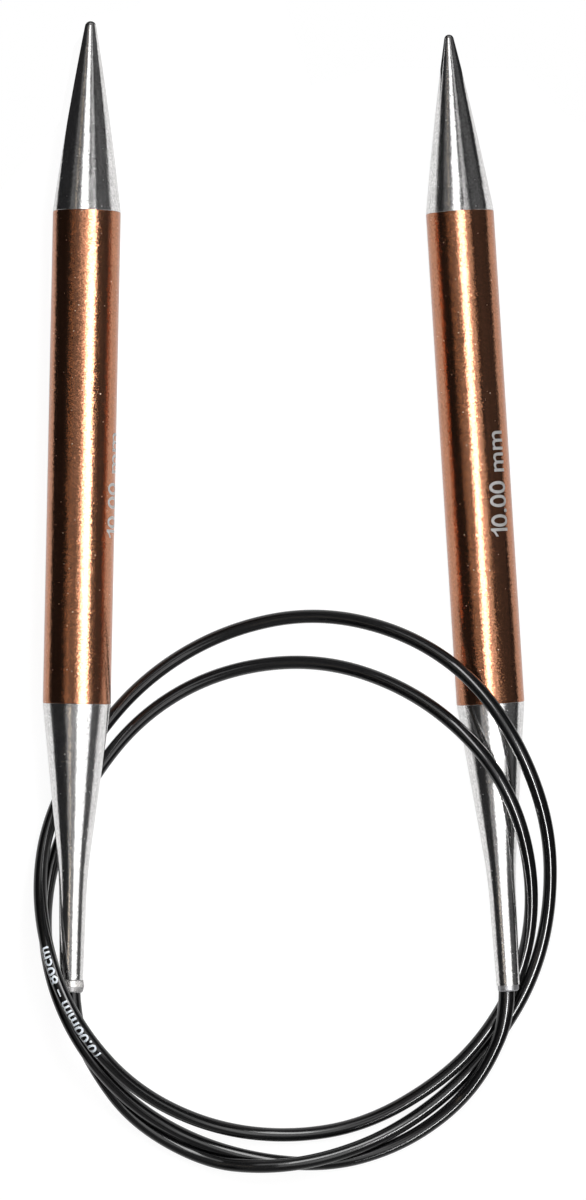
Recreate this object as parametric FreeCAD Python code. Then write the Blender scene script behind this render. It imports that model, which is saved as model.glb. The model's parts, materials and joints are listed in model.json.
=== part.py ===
import FreeCAD, Part
import math
import os

# Circular knitting needle, size 10.00 mm: two turned needles on the two ends of one
# flexible cord, which lies coiled on the table with the needles side by side across it.
#
# Millimetres. +Y runs the long way, from the bottom of the coil towards the tips, +X to
# the right and +Z up from the table. The origin is on the table, under the middle of the
# box round the two needles.
#
# Each needle is drawn on a lathe plane first: z = 0 is the mouth that the cord leaves,
# and +Z is the needle's own axis towards its tip. It is then set on its end of the cord.

V = FreeCAD.Vector

# --- driving dimensions -------------------------------------------------------------

needle_d = 10.0           # the knitting size: barrel, tip shoulder and tail shoulder
barrel_length = 72.3
barrel_wall = 1.0
edge_break = 0.08         # fine bevel on every edge that meets flush at a barrel end

tip_lengths = {"left": 28.1, "right": 26.2}
nose_radii = {"left": 0.85, "right": 0.7}    # ball at each point
flank_rise = 0.17         # how far a tip's flank swells beyond a straight cone

spigot_length = 8.0       # pressed into each end of the barrel
spigot_bevel = 0.6

tail_length = 42.4        # barrel end to mouth, mouth ring included
knee_from_barrel = 25.5   # where the cone turns into the slender neck
knee_reach = 3.5          # how far the knee's rounding runs along cone and neck
neck_taper = 0.31         # what the neck loses in radius from the knee to the mouth
neck_wall = 0.28          # metal left round the swivel's bore at the mouth

ring_wall = 0.2
ring_lip_wall = 0.3
ring_lip_height = 0.9
ring_lip_bevel = 0.2
ring_sleeve_length = 1.6

cord_d = 2.0
cord_hold = 5.0           # length of cord inside a mouth
ferrule_wall = 0.2
ferrule_show = 1.2        # length of ferrule that stands out of the mouth
ferrule_cap = 0.5
ferrule_bevel = 0.12

run_clearance = 0.05      # radial, between a swivel's turning faces
end_clearance = 0.15      # axial, at each end of a swivel's captive head

left_mouth_lift = 1.94    # the strands under the left tail prop its mouth up by this
left_run_rise = 0.14      # the cord climbs this much over the run through that mouth
arc_share = 0.45          # part of the shorter run that a bend of the cord uses

# --- sizes that follow --------------------------------------------------------------

needle_r = needle_d / 2
spigot_r = needle_r - barrel_wall
barrel_end = tail_length + barrel_length

# From the cord outwards: ferrule, mouth ring, bore and neck.
cord_r = cord_d / 2
ferrule_neck_r = cord_r + ferrule_wall
ring_hole_r = ferrule_neck_r + run_clearance
ring_lip_r = ring_hole_r + ring_lip_wall
bore_r = ring_hole_r + ring_wall
neck_mouth_r = bore_r + neck_wall
knee_r = neck_mouth_r + neck_taper

# Along the axis, inwards from the mouth: ring, captive head and the bore's floor.
sleeve_end = ring_lip_height + ring_sleeve_length
head_r = bore_r - run_clearance
head_start = sleeve_end + end_clearance
head_end = cord_hold + ferrule_cap
bore_floor = head_end + end_clearance

# The cord's route, from inside the left mouth to inside the right mouth. It makes two and
# a half turns: under the left tail, over the right one, and over itself at the bottom.
# The left needle's tail is propped up a little on the strands that pass under it.
left_end_z = needle_r + left_mouth_lift
route = [
    V(-31.10, -66.50, left_end_z),
    V(-31.26, -74.50, left_end_z + left_run_rise),
    V(-28.20, -82.30, 5.3),
    V(-22.10, -90.90, 2.2),
    V(-11.60, -96.85, 1.4),
    V(-2.60, -97.50, 4.2),
    V(6.20, -96.30, 3.4),
    V(15.40, -93.00, 1.6),
    V(24.30, -86.90, 1.0),
    V(31.20, -79.30, 1.0),
    V(36.80, -70.00, 1.0),
    V(39.40, -59.40, 2.4),
    V(39.10, -47.40, 6.6),
    V(35.00, -35.80, 10.8),
    V(27.80, -25.20, 11.7),
    V(17.30, -18.30, 8.4),
    V(4.20, -15.60, 4.3),
    V(-9.10, -18.50, 1.1),
    V(-20.60, -25.50, 1.0),
    V(-29.00, -35.50, 1.0),
    V(-34.80, -46.20, 1.0),
    V(-36.20, -57.10, 5.4),
    V(-33.90, -68.20, 11.0),
    V(-29.30, -77.40, 12.0),
    V(-21.70, -86.00, 7.4),
    V(-11.00, -91.60, 3.0),
    V(0.60, -93.30, 1.0),
    V(12.20, -91.40, 1.0),
    V(23.30, -84.90, 1.8),
    V(30.50, -77.40, 2.6),
    V(35.60, -67.80, 1.2),
    V(36.90, -56.40, 5.0),
    V(34.40, -44.60, 9.4),
    V(28.40, -34.80, 11.3),
    V(18.20, -26.70, 7.8),
    V(5.20, -22.50, 3.6),
    V(-9.00, -24.10, 1.0),
    V(-20.80, -30.60, 1.0),
    V(-29.30, -41.30, 1.0),
    V(-34.30, -52.30, 1.0),
    V(-35.40, -62.40, 4.8),
    V(-33.50, -71.40, 9.9),
    V(-29.20, -80.20, 9.0),
    V(-22.30, -88.20, 4.9),
    V(-13.60, -93.70, 1.6),
    V(-3.60, -96.70, 1.0),
    V(7.00, -97.40, 1.0),
    V(16.60, -94.70, 1.0),
    V(24.70, -89.40, 1.4),
    V(30.00, -82.80, 3.2),
    V(33.29, -74.39, needle_r),
    V(32.79, -66.40, needle_r),
]

cord_ends = {"left": (route[0], route[1]), "right": (route[-1], route[-2])}


# --- drawing ------------------------------------------------------------------------

def at(radius, height):
    """Point of a lathe profile."""
    return V(radius, 0, height)


def line(start, end):
    return Part.LineSegment(start, end).toShape()


def chain(*points):
    """Straight edges through the points, in order."""
    return [line(a, b) for a, b in zip(points, points[1:])]


def swollen(start, end, rise):
    """Arc that stands out from its chord by rise, away from the lathe axis."""
    chord = end - start
    outward = V(chord.z, 0, -chord.x).normalize()
    middle = (start + end) * 0.5 + outward * rise
    return Part.Arc(start, middle, end).toShape()


def turned(edges):
    """Solid turned from a closed profile."""
    return Part.Face(Part.Wire(edges)).revolve(V(0, 0, 0), V(0, 0, 1), 360)


def rounding(before, corner, after, reach):
    """Arc tangent to both runs at a corner, reach away from it, and its radius."""
    back = (before - corner).normalize()
    ahead = (after - corner).normalize()
    half_turn = (math.pi - back.getAngle(ahead)) / 2
    radius = reach / math.tan(half_turn)
    inward = (back + ahead).normalize()
    middle = corner + inward * (radius / math.cos(half_turn) - radius)
    return Part.Arc(corner + back * reach, middle, corner + ahead * reach), radius


def set_on_cord(shape, side):
    """Place a turned shape with its mouth on one end of the cord."""
    inner, outer = cord_ends[side]
    toward_tip = (inner - outer).normalize()
    mouth = inner - toward_tip * cord_hold
    placed = shape.copy()
    placed.Placement = FreeCAD.Placement(mouth, FreeCAD.Rotation(V(0, 0, 1), toward_tip))
    return placed


# --- needle -------------------------------------------------------------------------

def nose_touch(shoulder, ball, nose_r):
    """Point where the flank's arc runs smoothly into the ball at the tip."""
    lean = math.atan2(shoulder.x - nose_r, ball.z - shoulder.z)
    for _ in range(4):
        touch = ball + at(math.cos(lean), math.sin(lean)) * nose_r
        chord = touch - shoulder
        lean = math.atan2(-chord.x, chord.z) + 2 * math.atan(2 * flank_rise / chord.Length)
    return touch


def tip_point(length, nose_r):
    """Solid point with a swelling flank and a spigot for the barrel."""
    shoulder = at(needle_r, barrel_end + edge_break)
    ball = at(0, barrel_end + length - nose_r)
    touch = nose_touch(shoulder, ball, nose_r)
    nose = at(0, barrel_end + length)
    spigot_end = barrel_end - spigot_length
    halfway = (math.atan2(touch.z - ball.z, touch.x) + math.pi / 2) / 2
    nose_middle = ball + at(math.cos(halfway), math.sin(halfway)) * nose_r
    edges = chain(
        nose,
        at(0, spigot_end),
        at(spigot_r - spigot_bevel, spigot_end),
        at(spigot_r, spigot_end + spigot_bevel),
        at(spigot_r, barrel_end),
        at(needle_r - edge_break, barrel_end),
        shoulder,
    )
    edges.append(swollen(shoulder, touch, flank_rise))
    edges.append(Part.Arc(touch, nose_middle, nose).toShape())
    return turned(edges)


def barrel_tube():
    """Open tube between the two shoulders."""
    return turned(chain(
        at(spigot_r, tail_length),
        at(needle_r - edge_break, tail_length),
        at(needle_r, tail_length + edge_break),
        at(needle_r, barrel_end - edge_break),
        at(needle_r - edge_break, barrel_end),
        at(spigot_r, barrel_end),
        at(spigot_r, tail_length),
    ))


def tail_cone():
    """Cone and slender neck, with a spigot for the barrel and a bore for the swivel."""
    neck_end = at(neck_mouth_r, ring_lip_height)
    knee = at(knee_r, tail_length - knee_from_barrel)
    shoulder = at(needle_r, tail_length - edge_break)
    spigot_end = tail_length + spigot_length
    bend, _ = rounding(neck_end, knee, shoulder, knee_reach)
    edges = chain(
        shoulder,
        at(needle_r - edge_break, tail_length),
        at(spigot_r, tail_length),
        at(spigot_r, spigot_end - spigot_bevel),
        at(spigot_r - spigot_bevel, spigot_end),
        at(0, spigot_end),
        at(0, bore_floor),
        at(bore_r, bore_floor),
        at(bore_r, ring_lip_height),
        neck_end,
        bend.StartPoint,
    )
    edges.append(bend.toShape())
    edges.append(line(bend.EndPoint, shoulder))
    return turned(edges)


def mouth_ring():
    """Bush pressed into the bore, with a lip that closes the mouth round the ferrule."""
    return turned(chain(
        at(ring_hole_r, 0),
        at(ring_lip_r - ring_lip_bevel, 0),
        at(ring_lip_r, ring_lip_bevel),
        at(ring_lip_r, ring_lip_height),
        at(bore_r, ring_lip_height),
        at(bore_r, sleeve_end),
        at(ring_hole_r, sleeve_end),
        at(ring_hole_r, 0),
    ))


def cord_ferrule():
    """Sleeve crimped on the cord's end: a thin neck, and a head held behind the ring."""
    return turned(chain(
        at(cord_r, -ferrule_show),
        at(ferrule_neck_r - ferrule_bevel, -ferrule_show),
        at(ferrule_neck_r, ferrule_bevel - ferrule_show),
        at(ferrule_neck_r, head_start),
        at(head_r, head_start),
        at(head_r, head_end),
        at(0, head_end),
        at(0, cord_hold),
        at(cord_r, cord_hold),
        at(cord_r, -ferrule_show),
    ))


# --- cord ---------------------------------------------------------------------------

def cord_path():
    """Straight runs joined by tangent arcs, and the arcs' radii."""
    edges = []
    radii = []
    start = route[0]
    for before, corner, after in zip(route, route[1:], route[2:]):
        reach = arc_share * min(corner.distanceToPoint(before), corner.distanceToPoint(after))
        arc, radius = rounding(before, corner, after, reach)
        edges.append(line(start, arc.StartPoint))
        edges.append(arc.toShape())
        radii.append(radius)
        start = arc.EndPoint
    edges.append(line(start, route[-1]))
    return Part.Wire(edges), radii


def cord():
    """Round cord along its whole route, end to end between the two ferrule caps."""
    path, radii = cord_path()
    section = Part.Wire(Part.Circle(route[0], route[1] - route[0], cord_r).toShape())
    tube = path.makePipeShell([section], True, False)
    print("cord radii, mm:", " ".join("%.1f" % radius for radius in radii))
    print("cord length %.1f mm, smallest radius %.1f mm" % (path.Length, min(radii)))
    expected = math.pi * cord_r ** 2 * path.Length
    print("cord volume / (section x length): %.5f" % (tube.Volume / expected))
    return tube


# --- assembly -----------------------------------------------------------------------

def build():
    """All nodes by name."""
    nodes = {"cord": cord()}
    for side, tip_length in tip_lengths.items():
        needle_parts = {
            "tip_point": tip_point(tip_length, nose_radii[side]),
            "barrel_tube": barrel_tube(),
            "tail_cone": tail_cone(),
            "mouth_ring": mouth_ring(),
            "cord_ferrule": cord_ferrule(),
        }
        for name, shape in needle_parts.items():
            nodes[side + "_" + name] = set_on_cord(shape, side)
    return nodes


def write(nodes):
    os.makedirs("parts", exist_ok=True)
    for name, shape in nodes.items():
        shape.exportStep(os.path.join("parts", name + ".step"))


write(build())
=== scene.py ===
"""Looks of the circular knitting needle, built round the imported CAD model.

Lengths are in metres, in the CAD's frame, except where a name or a comment says mm.
"""

import json
import math

import bmesh
import bpy
from mathutils import Matrix, Vector, noise


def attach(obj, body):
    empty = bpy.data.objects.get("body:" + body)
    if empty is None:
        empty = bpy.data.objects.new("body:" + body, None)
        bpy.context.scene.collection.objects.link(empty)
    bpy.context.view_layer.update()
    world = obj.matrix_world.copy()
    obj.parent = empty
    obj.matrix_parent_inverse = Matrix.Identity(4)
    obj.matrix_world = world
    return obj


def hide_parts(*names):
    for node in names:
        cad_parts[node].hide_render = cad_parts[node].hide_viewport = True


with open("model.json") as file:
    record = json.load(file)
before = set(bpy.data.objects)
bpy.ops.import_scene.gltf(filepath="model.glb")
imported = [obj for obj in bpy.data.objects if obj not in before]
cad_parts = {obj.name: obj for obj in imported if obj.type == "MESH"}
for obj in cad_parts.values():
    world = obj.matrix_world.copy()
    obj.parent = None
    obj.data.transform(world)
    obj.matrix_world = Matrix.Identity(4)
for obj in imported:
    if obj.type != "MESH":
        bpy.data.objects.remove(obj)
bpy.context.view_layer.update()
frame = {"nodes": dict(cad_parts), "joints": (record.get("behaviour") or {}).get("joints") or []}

MM = 0.001
SIDES = ("left", "right")

# --- sizes in mm, as in the CAD source ----------------------------------------------

NEEDLE_R = 5.0
BARREL_LENGTH = 72.3
TAIL_LENGTH = 42.4
BARREL_END = TAIL_LENGTH + BARREL_LENGTH
EDGE_BREAK = 0.08
SPIGOT_R = 4.0
TIP_LENGTHS = {"left": 28.1, "right": 26.2}
NOSE_RADII = {"left": 0.85, "right": 0.7}
FLANK_RISE = 0.17
KNEE_FROM_BARREL = 25.5
KNEE_REACH = 3.5
KNEE_R = 2.04
NECK_MOUTH_R = 1.73
BORE_R = 1.45
BORE_FLOOR = 5.65
RING_LIP_HEIGHT = 0.9
CORD_R = 1.0

# The cord's route, from inside the left mouth to inside the right.
CORD_ROUTE_MM = [
    (-31.10, -66.50, 6.94),
    (-31.26, -74.50, 7.08),
    (-28.20, -82.30, 5.3),
    (-22.10, -90.90, 2.2),
    (-11.60, -96.85, 1.4),
    (-2.60, -97.50, 4.2),
    (6.20, -96.30, 3.4),
    (15.40, -93.00, 1.6),
    (24.30, -86.90, 1.0),
    (31.20, -79.30, 1.0),
    (36.80, -70.00, 1.0),
    (39.40, -59.40, 2.4),
    (39.10, -47.40, 6.6),
    (35.00, -35.80, 10.8),
    (27.80, -25.20, 11.7),
    (17.30, -18.30, 8.4),
    (4.20, -15.60, 4.3),
    (-9.10, -18.50, 1.1),
    (-20.60, -25.50, 1.0),
    (-29.00, -35.50, 1.0),
    (-34.80, -46.20, 1.0),
    (-36.20, -57.10, 5.4),
    (-33.90, -68.20, 11.0),
    (-29.30, -77.40, 12.0),
    (-21.70, -86.00, 7.4),
    (-11.00, -91.60, 3.0),
    (0.60, -93.30, 1.0),
    (12.20, -91.40, 1.0),
    (23.30, -84.90, 1.8),
    (30.50, -77.40, 2.6),
    (35.60, -67.80, 1.2),
    (36.90, -56.40, 5.0),
    (34.40, -44.60, 9.4),
    (28.40, -34.80, 11.3),
    (18.20, -26.70, 7.8),
    (5.20, -22.50, 3.6),
    (-9.00, -24.10, 1.0),
    (-20.80, -30.60, 1.0),
    (-29.30, -41.30, 1.0),
    (-34.30, -52.30, 1.0),
    (-35.40, -62.40, 4.8),
    (-33.50, -71.40, 9.9),
    (-29.20, -80.20, 9.0),
    (-22.30, -88.20, 4.9),
    (-13.60, -93.70, 1.6),
    (-3.60, -96.70, 1.0),
    (7.00, -97.40, 1.0),
    (16.60, -94.70, 1.0),
    (24.70, -89.40, 1.4),
    (30.00, -82.80, 3.2),
    (33.29, -74.39, 5.0),
    (32.79, -66.40, 5.0),
]

# --- sizes in mm of this model alone ------------------------------------------------

NEEDLE_SEGMENTS = 144
BEAD_SEGMENTS = 64
SLEEVE_SEGMENTS = 40
SPIGOT_STUB = 1.0  # as much of a spigot as closes a piece behind its shoulder

# The glue round the left mouth, as (radius, height): down its outside and up its inside.
BEAD_OUTLINE = [
    (1.60, 1.95), (1.80, 1.90), (1.88, 1.60), (1.92, 1.20), (1.90, 0.70),
    (1.82, 0.25), (1.66, 0.02), (1.50, -0.03), (1.40, 0.04), (1.40, 1.0),
]
BEAD_INSIDE_R = 1.6
BEAD_INSIDE_HEIGHT = 0.5  # nearer the axis and higher, it is hidden in the neck and left even

# The ferrule and its taper, as (distance along the cord from its end, radius).
SLEEVE_OUTLINE = [
    (-0.6, 0.0), (-0.6, 1.40), (2.35, 1.40), (2.35, 1.20), (6.2, 1.20), (8.0, 1.19),
    (9.5, 1.15), (11.0, 1.09), (12.2, 1.03), (13.0, 1.005), (13.4, 0.99),
]

# Height of the capitals in Blender's own face, as a share of the text's size.
CAPITALS = 0.729

# Words of the size marks and of the cord's print, each with its stretch of the line.
MARK_WORDS = [("1", 0, 1.2), ("0.00", 1.4, 8.1), ("mm", 9.5, 15.45)]
MARK_HEIGHT = 3.05
MARK_WEIGHT = 0.03
MARK_LONGEST_EDGE = 0.3
MARK_LIFT = 0.008
MARK_FROM_MOUTH = 74.5
MARK_TURNS = {"right": 52.8, "left": 87.5}  # degrees from the top to the feet of the letters

PRINT_WORDS = [
    ("1", 0.25, 0.87), ("0.00", 1.4, 5.8), ("mm", 6.0, 9.75), ("\u2013", 10.55, 11.65),
    ("80", 12.5, 15.0), ("cm", 15.2, 18.1),
]
PRINT_HEIGHT = 1.65
PRINT_WEIGHT = 0.035
PRINT_LONGEST_EDGE = 0.22
PRINT_LIFT = 0.006
PRINT_TURN = 10  # degrees from the top to the feet of the letters, towards the coil's middle
PRINT_PLACE = (-31.7, -73.4, 12.0)


# --- camera -------------------------------------------------------------------------

def make_camera():
    """Looks straight down on the table from one metre."""
    camera_height = 1.0
    view_long_side = 0.17647
    view_level = 0.005
    view_middle = (1.41 * MM, -13.90 * MM)
    data = bpy.data.cameras.new("camera")
    data.sensor_width = 36
    data.lens = data.sensor_width * (camera_height - view_level) / view_long_side
    data.clip_start = 0.01
    data.clip_end = 20
    camera = bpy.data.objects.new("camera", data)
    camera.location = (*view_middle, camera_height)
    bpy.context.scene.collection.objects.link(camera)
    bpy.context.scene.camera = camera


# --- needle frames ------------------------------------------------------------------

def needle_frame(side):
    """Local axes of a needle: origin at the mouth, X to the right, Z towards the tip."""
    joint = next(joint for joint in frame["joints"] if joint["name"] == side + "_swivel")
    along = Vector(joint["axis"]).normalized()
    right = (Vector((1, 0, 0)) - along * along.x).normalized()
    down = along.cross(right)
    matrix = Matrix((right, down, along)).transposed().to_4x4()
    matrix.translation = joint["pos_m"]
    return matrix


NEEDLES = {side: needle_frame(side) for side in SIDES}


# --- mesh helpers -------------------------------------------------------------------

def add_object(name, mesh, material, body):
    """Object in the scene that rides on a body and has a material slot."""
    piece = bpy.data.objects.new(name, mesh)
    bpy.context.scene.collection.objects.link(piece)
    mesh.materials.append(material)
    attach(piece, body)
    return piece


def mesh_of(form, name):
    """Mesh with a name, from a form that isn't needed any more."""
    mesh = bpy.data.meshes.new(name)
    form.to_mesh(mesh)
    form.free()
    return mesh


def full_turn(segments):
    """Angles of the corners of a round ring, in radians."""
    return [2 * math.pi * step / segments for step in range(segments)]


def skin(form, rings, segments, crease_deg=30.0):
    """Faces from ring to ring, shaded smooth except at edges sharper than the crease."""
    for lower, upper in zip(rings, rings[1:]):
        for step in range(segments):
            after = (step + 1) % segments
            corners = [
                lower[step % len(lower)],
                lower[after % len(lower)],
                upper[after % len(upper)],
                upper[step % len(upper)],
            ]
            form.faces.new(list(dict.fromkeys(corners)))
    bmesh.ops.recalc_face_normals(form, faces=form.faces)
    crease = math.radians(crease_deg)
    for edge in form.edges:
        edge.smooth = len(edge.link_faces) == 2 and edge.calc_face_angle() < crease
    for face in form.faces:
        face.smooth = True


def lathe(name, profile, segments, side, crease_deg=30.0):
    """Mesh turned from (radius, height) points in mm, set on a needle's axis."""
    form = bmesh.new()
    rings = []
    for radius, height in profile:
        ring = [
            form.verts.new((radius * MM * math.cos(a), radius * MM * math.sin(a), height * MM))
            for a in (full_turn(segments) if radius else [0])
        ]
        rings.append(ring)
    skin(form, rings, segments, crease_deg)
    form.transform(NEEDLES[side])
    return mesh_of(form, name)


def arc_points(center, radius, start, end, count):
    """Points of a circular arc in the lathe plane, angles in radians from the radial axis."""
    angles = [start + (end - start) * step / count for step in range(count + 1)]
    return [(center[0] + radius * math.cos(a), center[1] + radius * math.sin(a)) for a in angles]


# --- needle pieces ------------------------------------------------------------------

def tip_profile(side):
    """Swelling flank that runs into the ball at the point, closed behind the shoulder."""
    length = TIP_LENGTHS[side]
    nose_r = NOSE_RADII[side]
    shoulder = Vector((NEEDLE_R, BARREL_END + EDGE_BREAK))
    ball = Vector((0, BARREL_END + length - nose_r))
    lean = math.atan2(shoulder.x - nose_r, ball.y - shoulder.y)
    for _ in range(6):  # each try starts from the lean that the last one found
        touch = ball + Vector((math.cos(lean), math.sin(lean))) * nose_r
        chord = touch - shoulder
        lean = math.atan2(-chord.x, chord.y) + 2 * math.atan(2 * FLANK_RISE / chord.length)
    half = chord.length / 2
    radius = (half * half + FLANK_RISE * FLANK_RISE) / (2 * FLANK_RISE)
    outward = Vector((chord.y, -chord.x)).normalized()
    center = (shoulder + touch) / 2 + outward * (FLANK_RISE - radius)
    start = math.atan2(shoulder.y - center.y, shoulder.x - center.x)
    end = math.atan2(touch.y - center.y, touch.x - center.x)
    closed = [
        (0, BARREL_END - SPIGOT_STUB),
        (SPIGOT_R, BARREL_END - SPIGOT_STUB),
        (SPIGOT_R, BARREL_END),
        (NEEDLE_R - EDGE_BREAK, BARREL_END),
    ]
    flank = arc_points(center, radius, start, end, 90)
    nose = arc_points(ball, nose_r, lean, math.pi / 2, 20)[1:-1]
    return closed + flank + nose + [(0, BARREL_END + length)]


def tail_profile():
    """Bore, slender neck, rounded knee and cone, closed behind the shoulder."""
    neck_end = Vector((NECK_MOUTH_R, RING_LIP_HEIGHT))
    knee = Vector((KNEE_R, TAIL_LENGTH - KNEE_FROM_BARREL))
    shoulder = Vector((NEEDLE_R, TAIL_LENGTH - EDGE_BREAK))
    back = (neck_end - knee).normalized()
    ahead = (shoulder - knee).normalized()
    half_turn = (math.pi - back.angle(ahead)) / 2
    radius = KNEE_REACH / math.tan(half_turn)
    center = knee + (back + ahead).normalized() * (radius / math.cos(half_turn))
    first = knee + back * KNEE_REACH
    last = knee + ahead * KNEE_REACH
    start = math.atan2(first.y - center.y, first.x - center.x)
    end = math.atan2(last.y - center.y, last.x - center.x)
    if end - start > math.pi:
        end -= 2 * math.pi
    if start - end > math.pi:
        end += 2 * math.pi
    inside = [(0, BORE_FLOOR), (BORE_R, BORE_FLOOR), (BORE_R, RING_LIP_HEIGHT)]
    neck = [tuple(neck_end.lerp(first, step / 12)) for step in range(12)]
    bend = arc_points(center, radius, start, end, 30)
    cone = [tuple(last.lerp(shoulder, step / 24)) for step in range(1, 25)]
    closed = [
        (NEEDLE_R - EDGE_BREAK, TAIL_LENGTH),
        (SPIGOT_R, TAIL_LENGTH),
        (SPIGOT_R, TAIL_LENGTH + SPIGOT_STUB),
        (0, TAIL_LENGTH + SPIGOT_STUB),
    ]
    return inside + neck + bend + cone + closed


def make_needles(looks):
    """Points and tails of fine mesh, and finishes for the tubes and rings of the CAD model."""
    for side in SIDES:
        body = side + "_needle"
        tip = lathe(side + "_point", tip_profile(side), NEEDLE_SEGMENTS, side)
        piece = add_object(side + "_point", tip, looks["silver", side], body)
        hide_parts(side + "_tip_point")
        tail = lathe(side + "_tail", tail_profile(), NEEDLE_SEGMENTS, side)
        piece = add_object(side + "_tail", tail, looks["silver", side], body)
        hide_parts(side + "_tail_cone")
        for node, material in (("barrel_tube", "copper"), ("mouth_ring", "ring")):
            carried = frame["nodes"][side + "_" + node]
            carried.data.materials.clear()
            carried.data.materials.append(looks[material, side])


def make_bead(material):
    """Bead of clear glue round the left mouth, a little uneven outside."""
    outline = BEAD_OUTLINE + BEAD_OUTLINE[:1]
    mesh = lathe("left_mouth_bead", outline, BEAD_SEGMENTS, "left", crease_deg=80)
    inverse = NEEDLES["left"].inverted()
    other_noise = Vector((7, 3, 1))
    for vertex in mesh.vertices:
        local = inverse @ vertex.co
        reach = math.hypot(local.x, local.y)
        if reach < BEAD_INSIDE_R * MM and local.z > BEAD_INSIDE_HEIGHT * MM:
            continue
        swell = noise.noise(Vector((local.x, local.y, local.z * 0.8)) * 900) * 0.09 * MM
        local.x *= 1 + swell / reach
        local.y *= 1 + swell / reach
        lift = noise.noise(Vector((local.y, local.x, local.z)) * 800 + other_noise) * 0.18 * MM
        local.z += lift
        vertex.co = NEEDLES["left"] @ local
    add_object("left_mouth_bead", mesh, material, "left_needle")


# --- cord ---------------------------------------------------------------------------

def cord_curve(bevel):
    """One smooth NURBS line along the whole route."""
    curve = bpy.data.curves.new("cord_line", "CURVE")
    curve.dimensions = "3D"
    spline = curve.splines.new("NURBS")
    spline.points.add(len(CORD_ROUTE_MM) - 1)
    for point, place in zip(spline.points, CORD_ROUTE_MM):
        point.co = (*(value * MM for value in place), 1)
    spline.order_u = 3
    spline.use_endpoint_u = True
    spline.resolution_u = 14
    spline.use_smooth = True
    curve.bevel_depth = bevel
    curve.bevel_resolution = 8
    curve.use_fill_caps = bevel > 0
    return curve


def make_cord(material):
    """The cord itself, round and as thick as in the CAD model."""
    piece = bpy.data.objects.new("cord_line", cord_curve(CORD_R * MM))
    bpy.context.scene.collection.objects.link(piece)
    piece.data.materials.append(material)
    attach(piece, "cord_line")
    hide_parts("cord")
    return piece


def cord_points():
    """Points along the cord's middle, read from a copy of its line without a bevel."""
    probe = bpy.data.objects.new("probe", cord_curve(0))
    bpy.context.scene.collection.objects.link(probe)
    mesh = bpy.data.meshes.new_from_object(probe)
    points = [vertex.co.copy() for vertex in mesh.vertices]
    bpy.data.meshes.remove(mesh)
    bpy.data.objects.remove(probe)
    return points


def place_on(points, distance):
    """Point and direction on a line of points, at a distance from its first point."""
    for start, end in zip(points, points[1:]):
        step = (end - start).length
        if distance <= step:
            break
        distance -= step
    return start.lerp(end, distance / step), (end - start).normalized()


def make_sleeve(side, points, material):
    """Ferrule crimped on the cord's end, with a long soft taper where the cord leaves the mouth."""
    line = points if side == "left" else points[::-1]
    form = bmesh.new()
    rings = []
    _, first = place_on(line, 0)
    across = first.orthogonal().normalized()
    for distance, radius in SLEEVE_OUTLINE:
        place, along = place_on(line, max(distance, 0) * MM)
        place = place + along * min(distance, 0) * MM
        across = (across - along * across.dot(along)).normalized()
        other = along.cross(across)
        ring = [
            form.verts.new(place + (across * math.cos(a) + other * math.sin(a)) * radius * MM)
            for a in (full_turn(SLEEVE_SEGMENTS) if radius else [0])
        ]
        rings.append(ring)
    skin(form, rings, SLEEVE_SEGMENTS)
    mesh = mesh_of(form, side + "_sleeve")
    piece = add_object(side + "_sleeve", mesh, material, "cord_line")
    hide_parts(side + "_cord_ferrule")


# --- lettering ----------------------------------------------------------------------

def glyph_run(words, size, weight):
    """Mesh of upright letters of Blender's own face."""
    text = bpy.data.curves.new("words", "FONT")
    text.body = words
    text.size = size
    text.offset = weight
    text.resolution_u = 6
    holder = bpy.data.objects.new("words", text)
    bpy.context.scene.collection.objects.link(holder)
    mesh = bpy.data.meshes.new_from_object(holder)
    bpy.data.objects.remove(holder)
    return mesh


def one_glyph(height):
    """Figure 1 with a slanted flag and no foot."""
    outline = [
        (0.26, 0), (0.40, 0), (0.40, 1), (0.31, 1),
        (0.18, 0.84), (0, 0.74), (0, 0.60), (0.26, 0.77),
    ]
    mesh = bpy.data.meshes.new("one")
    corners = [(x * height, y * height, 0) for x, y in outline]
    mesh.from_pydata(corners, [], [tuple(range(len(corners)))])
    return mesh


def flat_text(parts, height, weight, longest_edge):
    """Letters in mm: each part fills its own stretch of the line, centred on the whole.

    Longer edges are cut, so that the letters can be bent round a needle or the cord.
    """
    form = bmesh.new()
    middle = (parts[0][1] + parts[-1][2]) / 2
    for words, start, end in parts:
        known = len(form.verts)
        letters = one_glyph(height) if words == "1" else glyph_run(words, height / CAPITALS, weight)
        form.from_mesh(letters)
        form.verts.ensure_lookup_table()
        added = form.verts[known:]
        low = min(vertex.co.x for vertex in added)
        high = max(vertex.co.x for vertex in added)
        for vertex in added:
            vertex.co.x = start - middle + (vertex.co.x - low) * (end - start) / (high - low)
    bmesh.ops.triangulate(form, faces=form.faces)
    for _ in range(5):
        long_edges = [edge for edge in form.edges if edge.calc_length() > longest_edge]
        if not long_edges:
            break
        bmesh.ops.subdivide_edges(form, edges=long_edges, cuts=1)
        bmesh.ops.triangulate(form, faces=[face for face in form.faces if len(face.verts) > 3])
    return mesh_of(form, "text")


def make_barrel_mark(side, base_turn, material):
    """Size mark along a barrel: it reads towards the tip, with its feet base_turn from the top."""
    mesh = flat_text(MARK_WORDS, MARK_HEIGHT, MARK_WEIGHT, MARK_LONGEST_EDGE)
    reach = NEEDLE_R + MARK_LIFT
    for vertex in mesh.vertices:
        along, rise, _ = vertex.co
        turn = math.radians(base_turn) - rise / NEEDLE_R
        height = MARK_FROM_MOUTH + along
        local = Vector((reach * math.sin(turn), -reach * math.cos(turn), height)) * MM
        vertex.co = NEEDLES[side] @ local
    add_object(side + "_size_mark", mesh, material, side + "_needle")


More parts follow.
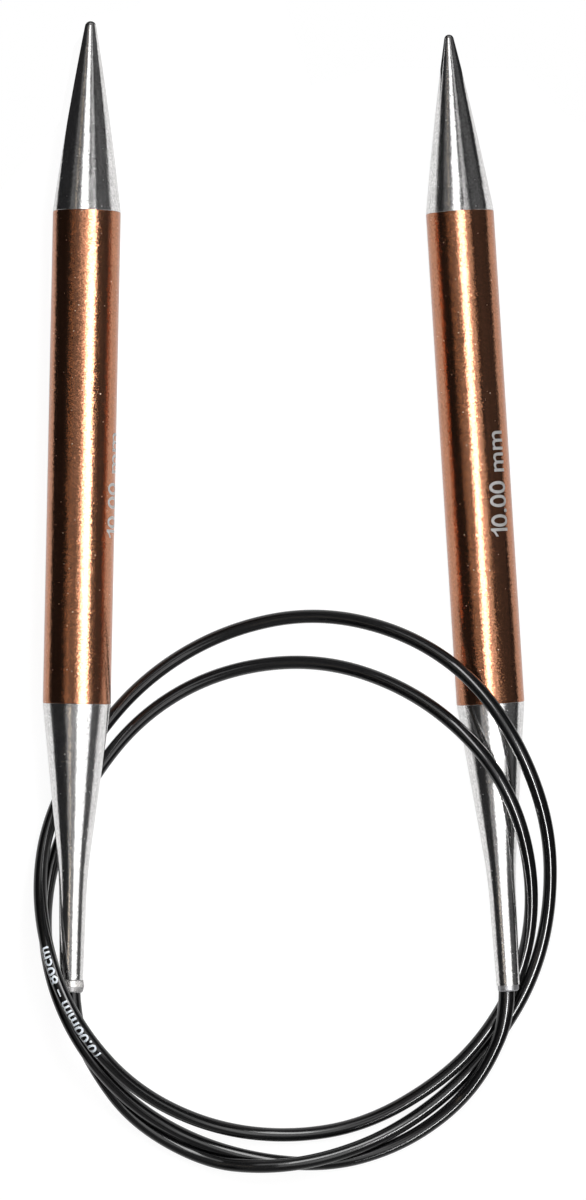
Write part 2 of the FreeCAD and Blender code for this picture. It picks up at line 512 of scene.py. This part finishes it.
def print_middle(points):
    """Distance along the cord to the middle of the print, over the left mouth."""
    target = Vector(PRINT_PLACE) * MM
    total = 0
    best = (1, 0)
    for start, end in zip(points, points[1:]):
        total += (end - start).length
        best = min(best, ((end - target).length, total))
    return best[1]


def make_cord_print(points, material):
    """Size and length printed along the strand that lies over the left mouth."""
    mesh = flat_text(PRINT_WORDS, PRINT_HEIGHT, PRINT_WEIGHT, PRINT_LONGEST_EDGE)
    middle = print_middle(points)
    reach = (CORD_R + PRINT_LIFT) * MM
    for vertex in mesh.vertices:
        along, rise, _ = vertex.co
        place, direction = place_on(points, middle - along * MM)
        outward = Vector((direction.y, -direction.x, 0)).normalized()
        up = outward.cross(direction)
        if up.z < 0:
            up = -up
        side_way = outward if outward.x < 0 else -outward
        turn = rise / CORD_R - math.radians(PRINT_TURN)
        vertex.co = place + (up * math.cos(turn) + side_way * math.sin(turn)) * reach
    add_object("cord_print", mesh, material, "cord_line")


# --- materials ----------------------------------------------------------------------

class Tree:
    """Small helper that adds nodes to one material."""

    def __init__(self, name):
        self.material = bpy.data.materials.new(name)
        self.material.use_nodes = True
        self.nodes = self.material.node_tree.nodes
        self.links = self.material.node_tree.links
        self.shader = self.nodes["Principled BSDF"]

    def put(self, socket, value):
        """Link a socket to another one, or set it to a plain value."""
        if isinstance(value, bpy.types.NodeSocket):
            self.links.new(value, socket)
        else:
            socket.default_value = value

    def add(self, kind, inputs=None, **settings):
        """New node with its settings made and its inputs put in."""
        node = self.nodes.new("ShaderNode" + kind)
        for key, value in settings.items():
            setattr(node, key, value)
        for key, value in (inputs or {}).items():
            self.put(node.inputs[key], value)
        return node

    def surface(self, **inputs):
        """Inputs of the material's own shader, with _ in their names for a space."""
        for key, value in inputs.items():
            self.put(self.shader.inputs[key.replace("_", " ")], value)

    def math(self, operation, first, second, clamp=False):
        inputs = {0: first, 1: second}
        return self.add("Math", inputs, operation=operation, use_clamp=clamp).outputs[0]

    def vector_math(self, operation, first, second):
        """Sum or product of vectors; SCALE takes a number in second place."""
        inputs = {0: first, "Scale" if operation == "SCALE" else 1: second}
        return self.add("VectorMath", inputs, operation=operation).outputs[0]

    def spread(self, value, source, target):
        """A value taken from one range to another, and held within it."""
        inputs = {"Value": value, "From Min": source[0], "From Max": source[1]}
        inputs |= {"To Min": target[0], "To Max": target[1]}
        return self.add("MapRange", inputs).outputs["Result"]

    def mix(self, factor, first, second):
        inputs = {"Factor": factor, "A": first, "B": second}
        return self.add("Mix", inputs, data_type="RGBA").outputs["Result"]

    def noise(self, vector, scale, detail, roughness):
        inputs = {"Vector": vector, "Scale": scale, "Detail": detail, "Roughness": roughness}
        return self.add("TexNoise", inputs).outputs["Fac"]

    def cells(self, vector, spacing):
        """Scattered cells, about a spacing apart."""
        return self.add("TexVoronoi", {"Vector": vector, "Scale": 1 / spacing}, feature="F1")

    def dots(self, vector, spacing, radius, share):
        """Small round spots, about a spacing apart, in a share of the cells."""
        cells = self.cells(vector, spacing)
        edge = (0.6 * radius / spacing, radius / spacing)
        near = self.spread(cells.outputs["Distance"], edge, (1, 0))
        pick = self.add("SeparateColor", {0: cells.outputs["Color"]})
        chosen = self.math("LESS_THAN", pick.outputs[0], share)
        return self.math("MULTIPLY", near, chosen)

    def bump(self, height, distance, strength=1, normal=None):
        """Raise the surface by a pattern of heights, over its own normal or a given one."""
        node = self.add("Bump", {"Strength": strength, "Distance": distance, "Height": height})
        if normal:
            self.put(node.inputs["Normal"], normal)
        self.surface(Normal=node.outputs["Normal"])


def rgb(red, green, blue):
    return (red, green, blue, 1)


def needle_vector(tree, side):
    """Coordinates of a needle's own frame, in metres: Z runs towards the tip."""
    place, turn, _ = NEEDLES[side].decompose()
    vector = tree.add("TexCoord").outputs["Object"]
    inputs = {"Vector": vector, "Location": place, "Rotation": turn.to_euler()}
    return tree.add("Mapping", inputs, vector_type="TEXTURE").outputs["Vector"]


def stretched(tree, vector, factor):
    """The same coordinates, drawn out along the needle."""
    inputs = {"Vector": vector, "Scale": (1, 1, factor)}
    return tree.add("Mapping", inputs, vector_type="POINT").outputs["Vector"]


def facets(tree, vector, size, lean):
    """Surface normal that leans a little another way on each grain, and more on a few."""
    cells = tree.cells(vector, size)
    centred = tree.vector_math("SUBTRACT", cells.outputs["Color"], (0.5, 0.5, 0.5))
    chance = tree.add("TexWhiteNoise", {"Vector": cells.outputs["Position"]}, noise_dimensions="3D")
    leans = tree.spread(chance.outputs["Value"], (0.85, 1.0), (lean, lean * 2.2))
    off = tree.vector_math("SCALE", centred, leans)
    leaned = tree.vector_math("ADD", tree.add("NewGeometry").outputs["Normal"], off)
    return tree.add("VectorMath", {0: leaned}, operation="NORMALIZE").outputs[0]


def metal(name, side, color, pale, roughness, grain, scratch):
    """Satin metal: fine grain, lengthwise marks, small bright nicks and a few dull specks.

    The grain is how far its facets lean, and the scratch how strong the lengthwise marks are.
    """
    tree = Tree(name + "_" + side)
    vector = needle_vector(tree, side)

    fine = tree.noise(vector, scale=3200, detail=3, roughness=0.65)
    cloud = tree.noise(vector, scale=260, detail=3, roughness=0.6)
    drawn = tree.noise(stretched(tree, vector, 0.03), scale=2600, detail=2, roughness=0.6)
    nicks = tree.dots(vector, spacing=0.75 * MM, radius=0.085 * MM, share=0.33)
    specks = tree.dots(vector, spacing=2.6 * MM, radius=0.12 * MM, share=0.30)
    long_way = stretched(tree, vector, 0.16)
    scratches = tree.dots(long_way, spacing=1.5 * MM, radius=0.05 * MM, share=0.30)

    streak = 0.16 * scratch
    tone = tree.spread(fine, (0.35, 0.65), (0.84, 1.14))
    tone = tree.math("MULTIPLY", tone, tree.spread(cloud, (0.3, 0.7), (0.95, 1.05)))
    streaks = tree.spread(drawn, (0.35, 0.65), (1 - streak, 1 + streak))
    tone = tree.math("MULTIPLY", tone, streaks)
    base = tree.vector_math("SCALE", color[:3], tone)
    bare = tree.math("MULTIPLY", nicks, 0.55)
    bare = tree.math("MAXIMUM", bare, tree.math("MULTIPLY", specks, 0.9))
    bare = tree.math("MAXIMUM", bare, tree.math("MULTIPLY", scratches, scratch))
    rough = tree.spread(drawn, (0.3, 0.7), (roughness - 0.025, roughness + 0.035))
    rough = tree.math("ADD", rough, tree.math("MULTIPLY", bare, 0.45), clamp=True)
    tree.surface(Metallic=1, Base_Color=tree.mix(bare, base, pale), Roughness=rough)

    nick_height = tree.math("MULTIPLY", nicks, 0.15)
    height = tree.math("ADD", nick_height, tree.math("MULTIPLY", drawn, scratch * 0.5))
    grains = facets(tree, vector, size=0.125 * MM, lean=grain)
    tree.bump(height, distance=0.012 * MM, normal=grains)
    return tree.material


def ring_metal(side):
    """Grey turned bush, duller than the needle."""
    tree = Tree("ring_metal_" + side)
    vector = needle_vector(tree, side)
    turned = tree.noise(stretched(tree, vector, 12), scale=900, detail=2, roughness=0.6)
    fine = tree.noise(vector, scale=4200, detail=2, roughness=0.6)
    tree.surface(
        Metallic=1,
        Base_Color=tree.mix(turned, rgb(0.26, 0.26, 0.27), rgb(0.52, 0.52, 0.53)),
        Roughness=tree.spread(fine, (0.3, 0.7), (0.38, 0.56)),
    )
    tree.bump(turned, distance=0.01 * MM, strength=0.6)
    return tree.material


def clear_glue():
    """Clear hardened glue with a few small bubbles."""
    tree = Tree("clear_glue")
    vector = tree.add("TexCoord").outputs["Object"]
    cloud = tree.noise(vector, scale=900, detail=2, roughness=0.6)
    bubbles = tree.dots(vector, spacing=0.5 * MM, radius=0.11 * MM, share=0.4)
    tree.surface(
        IOR=1.5,
        Transmission_Weight=0.85,
        Base_Color=tree.mix(cloud, rgb(0.93, 0.93, 0.94), rgb(0.78, 0.74, 0.70)),
        Roughness=tree.spread(cloud, (0.3, 0.7), (0.04, 0.16)),
    )
    height = tree.math("ADD", cloud, tree.math("MULTIPLY", bubbles, 0.4))
    tree.bump(height, distance=0.06 * MM)
    return tree.material


def black_plastic(name, roughness):
    """Glossy black cord: slightly wavy skin, fine haze and a little dust."""
    tree = Tree(name)
    vector = tree.add("TexCoord").outputs["Object"]
    wave = tree.noise(vector, scale=420, detail=1, roughness=0.4)
    haze = tree.noise(vector, scale=2400, detail=2, roughness=0.6)
    dust = tree.dots(vector, spacing=1.9 * MM, radius=0.06 * MM, share=0.30)
    base = tree.mix(haze, rgb(0.0030, 0.0030, 0.0034), rgb(0.0065, 0.0064, 0.0068))
    dusty = tree.mix(tree.math("MULTIPLY", dust, 0.35), base, rgb(0.5, 0.5, 0.5))
    rough = tree.spread(haze, (0.3, 0.7), (roughness - 0.03, roughness + 0.05))
    rough = tree.math("ADD", rough, tree.math("MULTIPLY", dust, 0.3), clamp=True)
    tree.surface(IOR=1.52, Base_Color=dusty, Roughness=rough)
    height = tree.math("ADD", wave, tree.math("MULTIPLY", haze, 0.05))
    tree.bump(height, distance=0.003 * MM)
    return tree.material


def ink(name, light, dark, metallic):
    """Thin print with a slightly broken surface."""
    tree = Tree(name)
    vector = tree.add("TexCoord").outputs["Object"]
    wear = tree.noise(vector, scale=3200, detail=2, roughness=0.7)
    tree.surface(
        Metallic=metallic,
        Base_Color=tree.mix(tree.spread(wear, (0.35, 0.65), (0, 1)), light, dark),
        Roughness=tree.spread(wear, (0.3, 0.7), (0.42, 0.58)),
    )
    return tree.material


def make_looks():
    """All finishes by name, and those of the needles by name and side."""
    looks = {}
    for side in SIDES:
        looks["copper", side] = metal(
            "copper", side, color=rgb(0.50, 0.225, 0.128), pale=rgb(0.86, 0.64, 0.52),
            roughness=0.18, grain=0.115, scratch=0.3,
        )
        looks["silver", side] = metal(
            "silver", side, color=rgb(0.80, 0.79, 0.785), pale=rgb(0.92, 0.92, 0.92),
            roughness=0.17, grain=0.055, scratch=0.5,
        )
        looks["ring", side] = ring_metal(side)
    looks["glue"] = clear_glue()
    looks["cord"] = black_plastic("cord_plastic", roughness=0.11)
    looks["sleeve"] = black_plastic("sleeve_plastic", roughness=0.12)
    looks["engraved"] = ink(
        "engraved_mark", light=rgb(0.52, 0.52, 0.52), dark=rgb(0.43, 0.425, 0.42), metallic=0.2
    )
    looks["print"] = ink(
        "cord_ink", light=rgb(0.92, 0.97, 1.00), dark=rgb(0.78, 0.84, 0.93), metallic=0.0
    )
    return looks


# --- light and floor ----------------------------------------------------------------

def lamp(name, place, size, radiance, color=(1, 1, 1), turn=(0, 0, 0), glint_only=False):
    """Rectangular lamp of a given radiance that faces down unless it is turned."""
    data = bpy.data.lights.new(name, "AREA")
    data.shape = "RECTANGLE"
    data.size, data.size_y = size
    data.energy = radiance * math.pi * size[0] * size[1]
    data.color = color
    made = bpy.data.objects.new(name, data)
    made.location = place
    made.rotation_euler = turn
    made.visible_camera = False
    made.visible_diffuse = not glint_only
    bpy.context.scene.collection.objects.link(made)


def make_lights():
    """One studio for this view: soft boxes over the needles, strips and walls round them."""
    slant = (0, math.radians(61.4), 0)
    lamp("barrel_lamp", (0.0245, 0.0085, 0.1484), (0.081, 0.107), 9.0, turn=slant)
    lamp("barrel_wing", (-0.009, 0.0085, 0.2100), (0.059, 0.107), 2.6, turn=slant)
    lamp("tail_lamp", (0.114, -0.1075, 0.21), (0.252, 0.125), 1.35)
    aside = (0, math.radians(-68.4), 0)
    lamp("strand_lamp", (0.0993, -0.23, 0.2305), (0.225, 0.26), 48.0, turn=aside, glint_only=True)
    lamp("tip_lamp", (-0.080, 0.275, 0.50), (0.24, 0.35), 1.6)
    lamp("side_lamp", (0.262, -0.175, 0.60), (0.195, 0.65), 0.85)
    lamp("side_lamp_high", (0.262, 0.375, 0.60), (0.195, 0.45), 0.5)
    lamp("ceiling", (-0.10, -0.525, 1.50), (2.0, 1.95), 0.24)
    lamp("ceiling_high", (-1.20, 0.975, 1.50), (2.6, 1.05), 0.11)
    salmon = (1.0, 0.78, 0.54)
    askew = (0, 0, math.radians(54))
    lamp("thin_strip", (-0.47, 0.01, 0.58), (0.02, 0.60), 2.0, color=salmon, turn=askew)
    lamp("tip_strip", (-0.47, 0.45, 0.58), (0.02, 0.40), 1.2, color=salmon)
    lamp("front_wall", (0.20, -1.30, 0.50), (1.8, 1.0), 0.25, turn=(math.pi / 2, 0, 0))
    lamp("back_wall", (0.20, 1.30, 0.50), (1.8, 1.0), 0.25, turn=(-math.pi / 2, 0, 0))
    lamp("right_wall", (0.90, 0.0, 0.50), (1.0, 2.0), 0.06, turn=(0, math.pi / 2, 0))


def make_world():
    """White for the camera and through clear glue, and a dark room for the metal to show."""
    world = bpy.data.worlds.new("studio")
    bpy.context.scene.world = world
    world.use_nodes = True
    nodes = world.node_tree.nodes
    links = world.node_tree.links
    nodes.clear()
    path = nodes.new("ShaderNodeLightPath")
    room = nodes.new("ShaderNodeBackground")
    room.inputs["Color"].default_value = rgb(0.02, 0.02, 0.021)
    white = nodes.new("ShaderNodeBackground")
    white.inputs["Color"].default_value = rgb(1, 1, 1)
    seen = nodes.new("ShaderNodeMath")
    seen.operation = "MAXIMUM"
    mix = nodes.new("ShaderNodeMixShader")
    out = nodes.new("ShaderNodeOutputWorld")
    links.new(path.outputs["Is Camera Ray"], seen.inputs[0])
    links.new(path.outputs["Is Transmission Ray"], seen.inputs[1])
    links.new(seen.outputs[0], mix.inputs["Fac"])
    links.new(room.outputs[0], mix.inputs[1])
    links.new(white.outputs[0], mix.inputs[2])
    links.new(mix.outputs[0], out.inputs["Surface"])


# Once round the floor, in metres. Its reflection draws the pale bands along the edges of the
# metal, so it runs close round the needles and ends where those bands end.
FLOOR_OUTLINE = [
    (-0.100, -0.30), (0.0465, -0.30), (0.0465, -0.058), (0.050, -0.042), (0.0575, -0.032),
    (0.060, -0.012), (0.070, 0.033), (0.062, 0.050), (0.042, 0.0575), (0.035, 0.0645),
    (0.013, 0.0645), (0.004, 0.062), (-0.005, 0.09), (-0.022, 0.0735), (-0.028, 0.0722),
    (-0.031, 0.068), (-0.033, 0.057), (-0.0404, 0.048), (-0.0446, 0.044), (-0.055, 0.0),
    (-0.062, -0.026), (-0.083, -0.038), (-0.100, -0.048),
]


def make_floor():
    """Pale board just under the part, lit a little from inside for the camera and the metal."""
    level = -0.02 * MM
    seen_glow = 0.92
    mirrored_glow = 0.72
    mesh = bpy.data.meshes.new("floor")
    corners = [(x, y, 0) for x, y in FLOOR_OUTLINE]
    mesh.from_pydata(corners, [], [tuple(range(len(corners)))])
    floor = bpy.data.objects.new("floor", mesh)
    floor.location.z = level
    bpy.context.scene.collection.objects.link(floor)
    tree = Tree("floor")
    tree.nodes.remove(tree.shader)
    rays = tree.add("LightPath").outputs
    diffuse = tree.add("BsdfDiffuse", {"Color": rgb(0.16, 0.16, 0.16)})
    seen = tree.math("MULTIPLY", rays["Is Camera Ray"], seen_glow)
    mirrored = tree.math("MAXIMUM", rays["Is Glossy Ray"], rays["Is Transmission Ray"])
    strength = tree.math("MAXIMUM", seen, tree.math("MULTIPLY", mirrored, mirrored_glow))
    glow = tree.add("Emission", {"Color": rgb(1, 1, 1), "Strength": strength})
    both = tree.add("AddShader", {0: diffuse.outputs[0], 1: glow.outputs[0]})
    tree.put(tree.nodes["Material Output"].inputs["Surface"], both.outputs[0])
    floor.data.materials.append(tree.material)


# --- build --------------------------------------------------------------------------

bpy.context.scene.view_settings.view_transform = "Standard"
make_camera()
finishes = make_looks()
cord_piece = make_cord(finishes["cord"])
path_points = cord_points()
for needle_side in SIDES:
    make_sleeve(needle_side, path_points, finishes["sleeve"])
make_cord_print(path_points, finishes["print"])
make_needles(finishes)
make_bead(finishes["glue"])
for needle_side, feet_turn in MARK_TURNS.items():
    make_barrel_mark(needle_side, feet_turn, finishes["engraved"])
make_lights()
make_world()
make_floor()
